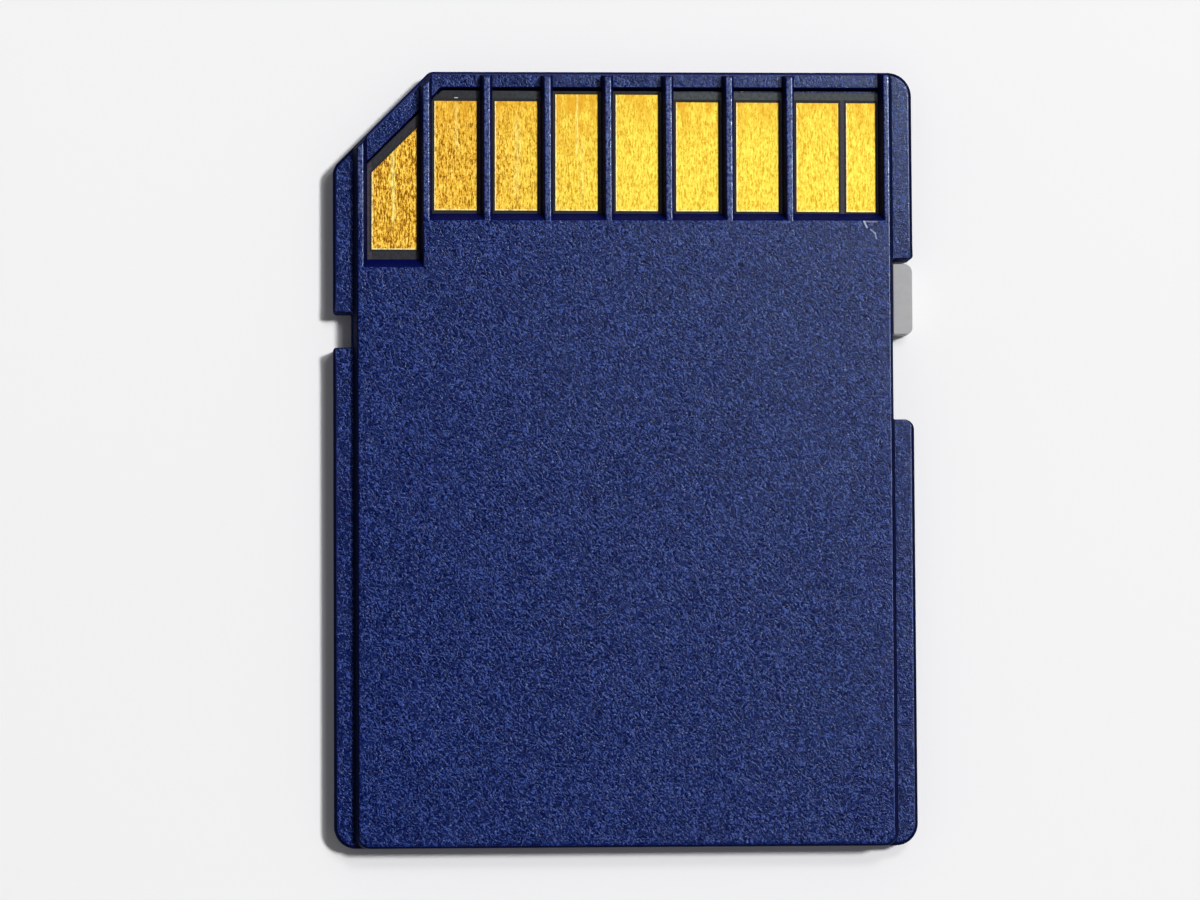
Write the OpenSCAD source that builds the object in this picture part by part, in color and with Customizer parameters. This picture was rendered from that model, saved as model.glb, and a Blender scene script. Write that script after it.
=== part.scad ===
// Full-size memory card, contact side up.
// X runs across the card, Y runs towards the contact end, Z is the thickness.
// The origin is the middle of the card's footprint on the label-side plane.

/* [Card] */
// Width across the two guide rails
card_w = 24; // [23.9:0.05:24.1]
// Length from the rear end to the contact end
card_l = 32; // [31.9:0.05:32.1]
// Full thickness of the body
card_t = 2.1; // [2.0:0.05:2.2]
// Legs of the 45 degree keying corner
key_cut = 4; // [3.8:0.1:4.1]
// Corner radius at the contact end
front_r = 1.0; // [0.6:0.1:1.2]
// Corner radius at the rear end
rear_r = 0.9; // [0.6:0.1:1.2]

/* [Guide rails] */
// Width of the full-thickness body where its leaning sides meet the rails
body_w = 22.36; // [22.3:0.02:22.4]
// Width of the body at its top face
body_top_w = 22.0; // [21.96:0.02:22.1]
// Height of the top of the rails above the label side
rail_t = 1.4; // [1.35:0.05:1.45]
// Rounding of the body's top edges
body_edge_r = 0.08; // [0.05:0.01:0.1]
// Rounding of the body's rear edge
rear_edge_r = 0.2; // [0.15:0.01:0.26]
// Plan radius of the body's rear corners
body_r = 0.5; // [0.3:0.05:0.6]
// Rounding of the rails' outer edges
rail_edge_r = 0.18; // [0.1:0.01:0.2]

/* [Covers] */
// Height of the seam between the two covers
seam_z = 0.7; // [0.65:0.01:0.72]
// Thickness of the contact-side cover's top wall
top_wall = 0.35; // [0.3:0.01:0.4]
// Thickness of the label-side cover, with the label recess included
bottom_wall = 0.35; // [0.3:0.01:0.36]
// Half width of the pocket that holds the board
pocket_half = 10.85; // [10.82:0.01:10.88]
// Width of the upright wall that carries the board
ledge_w = 0.5; // [0.4:0.05:0.6]

/* [Contact windows] */
// Level of the front lip and of the window floor
window_z = 1.37; // [1.365:0.001:1.372]
// Y of the windows' rear wall at its top edge
window_rear_y = 9.77; // [9.7:0.01:9.8]
// Y of the same wall at its foot
window_foot_y = 10.1; // [10.0:0.01:10.12]
// Y of the keyed window's rear wall at its top edge
key_window_rear_y = 7.83; // [7.75:0.01:7.9]
// Y of the same wall at its foot
key_window_foot_y = 8.2; // [8.1:0.01:8.25]
// X of the last window's outer wall at its top edge
last_wall_x = 10.74; // [10.7:0.01:10.8]
// X of the keyed window's outer wall at its top edge
key_wall_x = -10.72; // [-10.76:0.01:-10.7]
// Y of the lip's inner edge
lip_y = 15.33; // [15.28:0.01:15.36]
// Distance of the keyed lip's inner edge from the keying cut, square to it
key_lip = 0.81; // [0.75:0.01:0.85]

/* [Window ribs] */
// X of the first rib, between the keyed window and window 1
rib_x = -8.15; // [-8.18:0.01:-8.12]
// Distance from one rib to the next
rib_pitch = 2.5; // [2.49:0.01:2.5]
// Number of ribs
rib_count = 7; // [7:1:7]
// Width of a rib at its top
rib_top = 0.29; // [0.25:0.01:0.32]
// Width of a rib at its foot
rib_foot = 0.5; // [0.45:0.01:0.52]
// How far a rib's front end leans back over its height
rib_lean = 0.12; // [0.1:0.01:0.4]

/* [Contacts] */
// Thickness of a plated contact
pad_t = 0.035; // [0.03:0.001:0.036]
// Width of a contact
pad_w = 1.75; // [1.7:0.01:1.78]
// Distance from one contact to the next
pad_pitch = 2.5; // [2.49:0.01:2.5]
// X of the middle of contact 1
pad_x = -6.94; // [-6.96:0.01:-6.92]
// Y of the contacts' rear ends
pad_rear_y = 10.2; // [10.2:0.01:10.24]
// Y of the contacts' front ends
pad_front_y = 14.74; // [14.6:0.01:14.8]
// How much further the two supply contacts reach
supply_extra = 0.3; // [0.2:0.01:0.35]
// Width of the narrow last contact
last_pad_w = 1.21; // [1.15:0.01:1.22]
// X of the middle of the narrow last contact
last_pad_x = 9.86; // [9.84:0.01:9.87]
// Width of the keyed contact
key_pad_w = 1.85; // [1.8:0.01:1.86]
// X of the middle of the keyed contact
key_pad_x = -9.47; // [-9.48:0.01:-9.46]
// Y of the keyed contact's rear end
key_pad_rear_y = 8.56; // [8.5:0.01:8.6]
// Distance of the keyed contact's slanted end from the keying cut, square to it
key_pad_in = 1.31; // [1.25:0.01:1.4]

/* [Circuit board] */
// Thickness of the board
board_t = 0.3; // [0.25:0.01:0.3]
// Gap between the board's edge and its pocket
board_gap = 0.12; // [0.11:0.01:0.13]
// Y of the board's rear edge
board_rear_y = -11.2; // [-12:0.1:-10.6]
// How far the board sits turned in its pocket, in degrees
board_turn = -0.22; // [-0.24:0.01:0]

/* [Lock notch, left rail] */
// Depth of the notch from the rail's outer face
lock_depth = 0.75; // [0.7:0.01:0.78]
// Y of the notch's rear side
lock_y0 = 4.55; // [4.5:0.01:4.6]
// Y of the notch's front side
lock_y1 = 6.0; // [5.9:0.01:6.1]

/* [Write-protect notch, right rail] */
// Depth of the notch from the rail's outer face
guard_depth = 0.9; // [0.86:0.01:0.92]
// Y of the notch's rear side
guard_y0 = 1.56; // [1.5:0.01:1.58]
// Y of the notch's front side
guard_y1 = 8.22; // [8.2:0.01:8.3]

/* [Write-protect slider] */
// Length of the slider's tab
tab_l = 2.93; // [2.8:0.01:2.94]
// Gap between the tab and the front of its notch when writing is allowed
tab_gap = 0.19; // [0.15:0.01:0.25]
// Height of the tab's underside
tab_z0 = 0.22; // [0.15:0.01:0.3]
// Height of the tab's top
tab_z1 = 1.24; // [1.1:0.01:1.3]
// Gap between the tab's outer face and the rail's outer face
tab_inset = 0.02; // [0.0:0.01:0.1]
// Length of the neck that passes through the wall
neck_l = 2.0; // [1.8:0.05:2.1]
// How far the slider travels from its rest place to the locked place
slide_travel = 3.4; // [3.3:0.05:3.4]
// Clearance around the neck and the foot
slide_fit = 0.07; // [0.05:0.01:0.08]

/* [Label] */
// Thickness of the label film
label_t = 0.08; // [0.06:0.01:0.09]
// Depth of the recess that holds it
recess_d = 0.1; // [0.1:0.01:0.12]
// Half width of the recess
recess_half = 10.3; // [9.8:0.1:10.4]
// Y of the recess's rear edge
recess_y0 = -12.6; // [-13:0.1:-12]
// Y of the recess's front edge
recess_y1 = 13.4; // [13:0.1:13.8]

/* [Electronics] */
// Size of the storage chip
flash_size = [12, 14.5, 0.64]; // [0.5:0.05:16]
// Size of the controller chip
controller_size = [6.4, 6.4, 0.58]; // [0.5:0.02:7]
// Number of small capacitors
capacitor_count = 5; // [1:1:5]
// Number of resistors
resistor_count = 6; // [1:1:6]

/* [Hidden] */
$fn = 48;
eps = 0.5;
hw = card_w / 2;
hl = card_l / 2;
bw = body_w / 2;
bt = body_top_w / 2;
board_top = window_z - 0.005;
board_under = board_top - board_t;
pocket_top = window_z + 0.01;
ledge_top = board_under - 0.01;
guard_x = hw - guard_depth;
tab_y1 = guard_y1 - tab_gap;
tab_y0 = tab_y1 - tab_l;
tab_mid = (tab_y0 + tab_y1) / 2;
navy = "#20306f";
gold = "#d9a52b";

// Arc at corner p between neighbours a and b: [centre, first tangent point, second tangent point].
function unit(v) = v / norm(v);
function corner(p, a, b, r) =
    let (u = unit(a - p), v = unit(b - p), half = acos(u * v) / 2)
    [p + unit(u + v) * r / sin(half), p + u * r / tan(half), p + v * r / tan(half)];

// Convex outline with a true arc of its own radius at every corner.
module rounded_poly(pts, radii) {
    n = len(pts);
    arcs = [for (i = [0:n - 1]) corner(pts[i], pts[(i + n - 1) % n], pts[(i + 1) % n], radii[i])];
    polygon([for (a = arcs) each [a[1], a[2]]]);
    for (i = [0:n - 1]) translate(arcs[i][0]) circle(r = radii[i]);
}

// The card's footprint.
module footprint() {
    rounded_poly([[-hw, -hl], [hw, -hl], [hw, hl], [-hw + key_cut, hl], [-hw, hl - key_cut]],
                 [rear_r, rear_r, front_r, 0.4, 0.7]);
}

// Outline at a distance inside the front end and the keying cut, from rear_y forward.
module keyed_area(half, rear_y, front_y, key_in, r) {
    c = hl + hw - key_cut - key_in * sqrt(2);
    rounded_poly([[-half, rear_y], [half, rear_y], [half, front_y], [front_y - c, front_y], [-half, c - half]],
                 [r, r, r, r, r]);
}

// Cross-section of the card, X by Z: rails, body and their rounded edges.
module section_xz() {
    rounded_poly([[-hw, 0], [hw, 0], [hw, rail_t], [-hw, rail_t]],
                 [0.15, 0.15, rail_edge_r, rail_edge_r]);
    rounded_poly([[-bw, 0.9], [bw, 0.9], [bw, rail_t], [bt, card_t], [-bt, card_t], [-bw, rail_t]],
                 [0.1, 0.1, 0.02, body_edge_r, body_edge_r, 0.02]);
}

// Cross-section of the card along its length, Y by Z.
module section_yz() {
    rounded_poly([[-hl, 0], [hl, 0], [hl, card_t], [-hl, card_t]],
                 [0.15, 0.15, 0.2, rear_edge_r]);
}

module along_y(y0, y1) translate([0, y1, 0]) rotate([90, 0, 0]) linear_extrude(y1 - y0) children();
module along_x(x0, x1) translate([x0, 0, 0]) rotate([90, 0, 90]) linear_extrude(x1 - x0) children();
module slab(z0, z1) translate([0, 0, z0]) linear_extrude(z1 - z0) children();

// The whole card as a blank between two heights.
module blank(z0, z1) {
    intersection() {
        slab(z0, z1) footprint();
        union() {
            slab(z0 - eps, rail_t) square([card_w + 1, card_l + 1], center = true);
            slab(z0 - eps, z1 + eps)
                rounded_poly([[-bw, -hl], [bw, -hl], [bw, hl + 1], [-bw, hl + 1]], [body_r, body_r, body_r, body_r]);
        }
        along_y(-hl - 1, hl + 1) section_xz();
        along_x(-hw - 1, hw + 1) section_yz();
    }
}

// Rounded mouth of a notch at the rail's outer face, at height y, opening to side s.
module flare(y, s, r, up) {
    translate([s * (hw - r), y - up * r])
        difference() {
            translate([s > 0 ? 0 : -r - eps, up > 0 ? 0 : -r]) square([r + eps, r]);
            circle(r = r);
        }
}

// Plan of the lock notch in the left rail.
module lock_notch() {
    translate([-hw - eps, lock_y0]) square([eps + lock_depth, lock_y1 - lock_y0]);
    flare(lock_y1, -1, 0.14, -1);
    flare(lock_y0, -1, 0.14, 1);
}

// Plan of the write-protect notch in the right rail.
module guard_notch() {
    rounded_poly([[guard_x, guard_y0], [hw + eps, guard_y0], [hw + eps, guard_y1], [guard_x, guard_y1]],
                 [0.1, 0.05, 0.05, 0.18]);
    flare(guard_y1, 1, 0.14, -1);
    flare(guard_y0, 1, 0.42, 1);
}

// Gap between two rib flanks or walls, as a trapezium in X and Z that leans out upwards.
module gap_xz(foot0, foot1, top0, top1) {
    k = (card_t + 0.3 - window_z) / (card_t - window_z);
    polygon([[foot0, window_z], [foot1, window_z],
             [foot1 + (top1 - foot1) * k, card_t + 0.3], [foot0 + (top0 - foot0) * k, card_t + 0.3]]);
}

// Space in front of a leaning rear wall, Y by Z.
module front_of(foot_y, top_y) {
    k = (card_t + 0.4 - window_z) / (card_t - window_z);
    polygon([[foot_y, window_z - 0.05], [hl + 1, window_z - 0.05], [hl + 1, card_t + 0.4],
             [foot_y + (top_y - foot_y) * k, card_t + 0.4], [foot_y, window_z]]);
}

// The windows over contacts 1 to 8, open at the front.
module windows() {
    intersection() {
        along_y(window_rear_y - 1, hl + 1)
            for (i = [0:rib_count - 1]) {
                x = rib_x + i * rib_pitch;
                last = i == rib_count - 1;
                gap_xz(x + rib_foot / 2,
                       last ? last_wall_x - 0.16 : x + rib_pitch - rib_foot / 2,
                       x + rib_top / 2,
                       last ? last_wall_x : x + rib_pitch - rib_top / 2);
            }
        along_x(-hw, hw) front_of(window_foot_y, window_rear_y);
    }
}

// The keyed window over contact 9, open at the slanted corner.
module key_window() {
    intersection() {
        along_y(key_window_rear_y - 1, hl + 1)
            gap_xz(key_wall_x + 0.14, rib_x - rib_foot / 2, key_wall_x, rib_x - rib_top / 2);
        along_x(-hw, hw) front_of(key_window_foot_y, key_window_rear_y);
    }
}

// Leaning front ends of the ribs.
module rib_ends() {
    along_x(-hw + key_cut - 0.3, last_wall_x - 0.5)
        polygon([[hl - 0.16, window_z], [hl + 1, window_z], [hl + 1, card_t + 0.5],
                 [hl - 0.16 - rib_lean * 1.6, card_t + 0.5], [hl - 0.16 - rib_lean, card_t]]);
}

// Rounded front edge of the lip, between the ribs.
module lip_edge() {
    r = rail_edge_r;
    along_x(-hw + key_cut - 0.3, last_wall_x - 0.16)
        difference() {
            translate([hl - r, window_z - r]) square([r + eps, r + eps]);
            translate([hl - r, window_z - r]) circle(r = r);
            translate([hl - r - eps, window_z - r]) square([eps, r]);
        }
}

// Slot in the side wall that the slider's neck runs in.
module neck_slot() {
    translate([pocket_half - 0.1, tab_mid - neck_l / 2 - slide_travel - 0.1, 0.52 - slide_fit])
        cube([guard_x - pocket_half + 0.2, neck_l + slide_travel + 0.2, 0.38 + 2 * slide_fit]);
}

// Upper shell: windows, ribs, front lip and the upper half of the rails.
module contact_side_cover() {
    color(navy)
    difference() {
        blank(seam_z, card_t + 1);
        // Pocket for the board, open downwards
        slab(seam_z - eps, pocket_top) keyed_area(pocket_half, board_rear_y - board_gap, lip_y, key_lip, 0.25);
        // Cavity behind and above the board
        slab(seam_z - eps, card_t - top_wall)
            rounded_poly([[-10.3, -15], [10.3, -15], [10.3, 7], [-10.3, 7]], [0.4, 0.4, 0.4, 0.4]);
        windows();
        key_window();
        rib_ends();
        lip_edge();
        slab(-eps, card_t + eps) { lock_notch(); guard_notch(); }
        neck_slot();
    }
}

// Plan of the wall that carries the board's edge, without its detour around the slider.
module ledge_plan() {
    rear = board_rear_y - 0.02;
    difference() {
        keyed_area(pocket_half - 0.1, rear, lip_y - 0.1, key_lip + 0.1, 0.2);
        keyed_area(pocket_half - 0.1 - ledge_w, rear + ledge_w, lip_y - 0.1 - ledge_w, key_lip + 0.1 + ledge_w, 0.2);
        translate([pocket_half - 0.8, guard_y0 - 0.4]) square([2, guard_y1 - guard_y0 + 0.8]);
    }
    // Inner wall that keeps the slider's foot in its channel
    translate([9.65, guard_y0 - 0.9]) square([0.5, guard_y1 - guard_y0 + 1.8]);
    for (y = [guard_y0 - 0.9, guard_y1 + 0.4])
        translate([9.65, y]) square([pocket_half - 0.1 - 9.65, 0.5]);
}

// Lower shell: label recess, floor, lower half of the rails and the board's ledge.
module label_side_cover() {
    color(navy)
    difference() {
        union() {
            difference() {
                blank(-1, seam_z);
                slab(bottom_wall, seam_z + eps) keyed_area(pocket_half, -15, lip_y, key_lip, 0.25);
            }
            slab(bottom_wall - 0.1, ledge_top) ledge_plan();
        }
        slab(-eps, recess_d) label_plan(0);
        slab(-eps, card_t) { lock_notch(); guard_notch(); }
        neck_slot();
    }
}

// Plan of the label recess, less a margin.
module label_plan(margin) {
    rounded_poly([[-recess_half + margin, recess_y0 + margin], [recess_half - margin, recess_y0 + margin],
                  [recess_half - margin, recess_y1 - margin], [-recess_half + 3.2 + margin * 0.42, recess_y1 - margin],
                  [-recess_half + margin, recess_y1 - 3.2 - margin * 0.42]],
                 [0.6, 0.6, 0.6, 0.6, 0.6]);
}

// Sliding lock: outer tab, neck through the wall, and a foot in the channel.
module write_protect_slider() {
    x1 = hw - tab_inset;
    x0 = guard_x + 0.08;
    foot_x1 = pocket_half - 0.08;
    color("#b9bbbd") {
        slab(tab_z0, tab_z1)
            rounded_poly([[x0, tab_y0], [x1, tab_y0], [x1, tab_y1], [x0, tab_y1]], [0.04, 0.28, 0.34, 0.04]);
        translate([foot_x1 - 0.2, tab_mid - neck_l / 2, 0.52])
            cube([x0 + 0.3 - foot_x1 + 0.2, neck_l, 0.38]);
        translate([foot_x1 - 0.49, tab_y0 + 0.1, bottom_wall + slide_fit])
            cube([0.49, tab_l - 0.2, ledge_top - bottom_wall - 2 * slide_fit - 0.01]);
    }
}

// Thin printed film, bare of print, glued into the recess.
module label() {
    color("#e8e6df") slab(recess_d - label_t, recess_d) label_plan(0.12);
}

// Everything on the board turns with it.
module turned() translate([0, 12.5, 0]) rotate([0, 0, board_turn]) translate([0, -12.5, 0]) children();

// Bare board.
module circuit_board() {
    color("#3a4038")
    turned()
        slab(board_under, board_top)
            keyed_area(pocket_half - board_gap, board_rear_y, lip_y - board_gap - 0.03, key_lip + board_gap, 0.2);
}

// Contact n of 1 to 8.
module contact(n) {
    narrow = n == 8;
    w = narrow ? last_pad_w : pad_w;
    x = narrow ? last_pad_x : pad_x + (n - 1) * pad_pitch;
    y1 = pad_front_y + ((n == 3 || n == 4) ? supply_extra : 0);
    color(gold)
    turned()
        translate([x - w / 2, pad_rear_y, board_top]) cube([w, y1 - pad_rear_y, pad_t]);
}

module contact_1() contact(1);
module contact_2() contact(2);
module contact_3() contact(3);
module contact_4() contact(4);
module contact_5() contact(5);
module contact_6() contact(6);
module contact_7() contact(7);
module contact_8() contact(8);

// Keyed contact with its slanted front end.
module contact_9() {
    c = hl + hw - key_cut - key_pad_in * sqrt(2);
    x0 = key_pad_x - key_pad_w / 2;
    x1 = key_pad_x + key_pad_w / 2;
    color(gold)
    turned()
        slab(board_top, board_top + pad_t)
            polygon([[x0, key_pad_rear_y], [x1, key_pad_rear_y], [x1, x1 + c], [x0, x0 + c]]);
}

// Moulded package under the board: a block with a bevelled marking face and a pin 1 dimple.
module package(size, at) {
    z0 = board_under - size[2];
    b = 0.12;
    turned()
    translate([at[0], at[1], 0])
        difference() {
            intersection() {
                slab(z0, board_under) square([size[0], size[1]], center = true);
                along_y(-size[1], size[1])
                    polygon([[-size[0] / 2 + b, z0], [size[0] / 2 - b, z0], [size[0] / 2, z0 + b], [size[0] / 2, board_under],
                             [-size[0] / 2, board_under], [-size[0] / 2, z0 + b]]);
                along_x(-size[0], size[0])
                    polygon([[-size[1] / 2 + b, z0], [size[1] / 2 - b, z0], [size[1] / 2, z0 + b], [size[1] / 2, board_under],
                             [-size[1] / 2, board_under], [-size[1] / 2, z0 + b]]);
            }
            translate([size[0] / 2 - 0.9, size[1] / 2 - 0.9, z0 - eps]) cylinder(r = 0.35, h = eps + 0.05);
        }
}

module flash_chip() color("#1b1b1d") package(flash_size, [0.4, -3.2]);
module controller_chip() color("#1d1d20") package(controller_size, [-4.6, 9.0]);

// Chip component: body with a slightly larger terminal at each end.
module chip_part(size, at) {
    cap = size[0] * 0.22;
    turned()
    translate([at[0], at[1], board_under - size[2]]) {
        translate([-size[0] / 2 + 0.02, -size[1] / 2 + 0.015, 0.015]) cube([size[0] - 0.04, size[1] - 0.03, size[2] - 0.03]);
        for (s = [-1, 1])
            translate([s * (size[0] - cap) / 2 - cap / 2, -size[1] / 2, 0]) cube([cap, size[1], size[2]]);
    }
}

module bulk_capacitor() color("#b08a5a") chip_part([1.6, 0.8, 0.62], [2.6, 6.2]);
module capacitors()
    color("#b8946a") for (i = [0:capacitor_count - 1]) chip_part([1.0, 0.5, 0.5], [1.2 + i * 1.7, 12.4]);
module resistors()
    color("#26272b") for (i = [0:resistor_count - 1]) chip_part([1.0, 0.5, 0.35], [0.9 + i * 1.5, 9.2]);
module fuse() color("#4c6a4f") chip_part([1.6, 0.8, 0.45], [6.4, 6.2]);

contact_side_cover();
label_side_cover();
write_protect_slider();
label();
circuit_board();
contact_1();
contact_2();
contact_3();
contact_4();
contact_5();
contact_6();
contact_7();
contact_8();
contact_9();
flash_chip();
controller_chip();
bulk_capacitor();
capacitors();
resistors();
fuse();
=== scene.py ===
import math

import bmesh
import bpy
from mathutils import Matrix, Vector
from mathutils.geometry import delaunay_2d_cdt, intersect_line_line_2d


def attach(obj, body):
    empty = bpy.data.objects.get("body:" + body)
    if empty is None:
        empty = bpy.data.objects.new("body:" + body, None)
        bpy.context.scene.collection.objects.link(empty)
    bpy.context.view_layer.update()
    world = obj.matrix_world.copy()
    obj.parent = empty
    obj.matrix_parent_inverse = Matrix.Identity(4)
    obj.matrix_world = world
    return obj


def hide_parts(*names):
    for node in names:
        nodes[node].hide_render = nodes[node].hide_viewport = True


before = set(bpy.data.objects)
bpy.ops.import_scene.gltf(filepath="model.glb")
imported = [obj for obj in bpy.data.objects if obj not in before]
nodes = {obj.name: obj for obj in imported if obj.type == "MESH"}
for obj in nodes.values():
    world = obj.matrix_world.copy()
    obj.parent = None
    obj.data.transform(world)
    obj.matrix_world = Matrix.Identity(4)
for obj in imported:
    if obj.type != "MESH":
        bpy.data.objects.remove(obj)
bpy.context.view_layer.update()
MM = 0.001

# ---------------------------------------------------------------- sizes, mm
CARD_T, RAIL_T, SEAM, LIP_Z = 2.1, 1.4, 0.7, 1.37
BODY_X, BODY_LEAN, RAIL_R = 11.0, 0.188, 0.18
RIB_X, PITCH, RIB_TOP, RIB_LEAN = -8.15, 2.5, 0.29, 0.105
REAR_Y, KEY_REAR_Y = 9.77, 7.83
LAST_X, KEY_X = 10.74, -10.72
GUARD_X, GUARD_Y0, GUARD_Y1 = 11.1, 1.56, 8.22
BOARD_TOP, BOARD_TURN = 1.365, -0.22
PADS = [(-6.94 + 2.5 * i, 1.75, 10.2, 15.04 if i in (2, 3) else 14.74) for i in range(7)] + [(9.86, 1.21, 10.2, 14.74)]
KEY_PAD = (-9.47, 1.85, 8.56)


# ---------------------------------------------------------------- mesh tools
def arc(cx, cy, r, a0, a1, n):
    """Points of an arc, angles in degrees."""
    return [(cx + r * math.cos(math.radians(a0 + (a1 - a0) * i / n)),
             cy + r * math.sin(math.radians(a0 + (a1 - a0) * i / n))) for i in range(n + 1)]


class Path:
    """Closed outline. Each edge carries its own profile, a tuple of numbers."""

    def __init__(self):
        self.p, self.e = [], []

    def to(self, x, y, *profile):
        if self.p and abs(self.p[-1][0] - x) < 1e-6 and abs(self.p[-1][1] - y) < 1e-6:
            self.e[-1] = profile
            return self
        self.p.append((x, y))
        self.e.append(profile)
        return self

    def arc(self, cx, cy, r, a0, a1, n, first, last):
        pts = arc(cx, cy, r, a0, a1, n)
        for i, q in enumerate(pts):
            t = min(1.0, i / max(1, n - 1))
            self.to(*q, *[a + (b - a) * t for a, b in zip(first, last)])
        return self


def finish_mesh(name, bm):
    bmesh.ops.recalc_face_normals(bm, faces=bm.faces)
    me = bpy.data.meshes.new(name)
    bm.to_mesh(me)
    bm.free()
    o = bpy.data.objects.new(name, me)
    bpy.context.scene.collection.objects.link(o)
    return o


def ring_solid(name, path, levels, inset):
    """A closed solid whose outline is offset inwards at each level by inset(profile, z)."""
    bm = bmesh.new()
    n = len(path.p)
    normals = []
    for i in range(n):
        a, b = Vector(path.p[i]), Vector(path.p[(i + 1) % n])
        d = (b - a).normalized()
        normals.append(Vector((d.y, -d.x)))
    rings = []
    for z in levels:
        ring = []
        for i in range(n):
            p, n0, n1 = Vector(path.p[i]), normals[i - 1], normals[i]
            d0, d1 = inset(path.e[i - 1], z), inset(path.e[i], z)
            cross = n0.x * n1.y - n0.y * n1.x
            if abs(cross) < 0.6:
                q = p - (n0 + n1) / (1 + n0.dot(n1)) * (d0 + d1) / 2
            else:
                c0, c1 = p.dot(n0) - d0, p.dot(n1) - d1
                q = Vector(((c0 * n1.y - c1 * n0.y) / cross, (n0.x * c1 - n1.x * c0) / cross))
            ring.append(bm.verts.new((q.x, q.y, z)))
        rings.append(ring)
    for lo, hi in zip(rings, rings[1:]):
        for i in range(n):
            j = (i + 1) % n
            bm.faces.new((lo[i], lo[j], hi[j], hi[i]))
    for ring in (rings[0], rings[-1]):
        flat = delaunay_2d_cdt([v.co.xy for v in ring], [], [list(range(n))], 1, 1e-9)
        if len(flat[0]) != n:
            for i in range(n):
                for j in range(i + 2, n):
                    hit = intersect_line_line_2d(*(ring[k % n].co.xy for k in (i, i + 1, j, j + 1)))
                    if hit and (j + 1) % n != i:
                        print(f"{name}: the outline crosses itself at {hit[0]:.3f}, {hit[1]:.3f}, z {ring[0].co.z:.3f}")
        for f in flat[2]:
            bm.faces.new([ring[flat[3][k][0]] for k in f])
    bmesh.ops.triangulate(bm, faces=[f for f in bm.faces if len(f.verts) > 3])
    return finish_mesh(name, bm)


def prism(name, pts, z0, z1):
    path = Path()
    for x, y in pts:
        path.to(x, y, 0.0)
    return ring_solid(name, path, [z0, z1], lambda e, z: 0.0)


def box(name, x0, x1, y0, y1, z0, z1):
    return prism(name, [(x0, y0), (x1, y0), (x1, y1), (x0, y1)], z0, z1)


def boolean(a, b, operation):
    m = a.modifiers.new("b", "BOOLEAN")
    m.solver, m.operation, m.object = "EXACT", operation, b
    bpy.context.view_layer.update()
    me = bpy.data.meshes.new_from_object(a.evaluated_get(bpy.context.evaluated_depsgraph_get()))
    a.modifiers.clear()
    old, a.data = a.data, me
    bpy.data.meshes.remove(old)
    bm = bmesh.new()
    bm.from_mesh(me)
    loose = sum(1 for e in bm.edges if len(e.link_faces) != 2)
    if loose:
        print(f"{a.name} {operation} {b.name}: {loose} edges without two faces")
    bm.free()
    gone = b.data
    bpy.data.objects.remove(b)
    bpy.data.meshes.remove(gone)
    return a


def to_metres(o, name, turn=0.0):
    """Cleans the mesh, and brings it from millimetres to the frame's metres."""
    bm = bmesh.new()
    bm.from_mesh(o.data)
    bmesh.ops.remove_doubles(bm, verts=bm.verts, dist=2e-4)
    bmesh.ops.dissolve_degenerate(bm, edges=bm.edges, dist=1e-4)
    bmesh.ops.triangulate(bm, faces=[f for f in bm.faces if len(f.verts) > 4])
    bmesh.ops.holes_fill(bm, edges=[e for e in bm.edges if len(e.link_faces) == 1], sides=6)
    if turn:
        about = Matrix.Translation((0, 12.5, 0)) @ Matrix.Rotation(math.radians(turn), 4, "Z") @ Matrix.Translation((0, -12.5, 0))
        bmesh.ops.transform(bm, matrix=about, verts=bm.verts)
    bmesh.ops.transform(bm, matrix=Matrix.Diagonal((MM, MM, MM, 1)), verts=bm.verts)
    bmesh.ops.recalc_face_normals(bm, faces=bm.faces)
    loose = sum(1 for e in bm.edges if len(e.link_faces) != 2)
    me = bpy.data.meshes.new(name)
    bm.to_mesh(me)
    bm.free()
    print(f"{name}: {len(me.polygons)} faces, {loose} edges without two faces")
    o.data = me
    o.name = name
    me.polygons.foreach_set("use_smooth", [False] * len(me.polygons))
    return o


def round_in(r, z, top):
    """Inset of a rounded top edge of radius r at height z."""
    if r <= 0 or z <= top - r:
        return 0.0
    h = min(r, z - (top - r))
    return r - math.sqrt(max(0.0, r * r - h * h))


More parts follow.
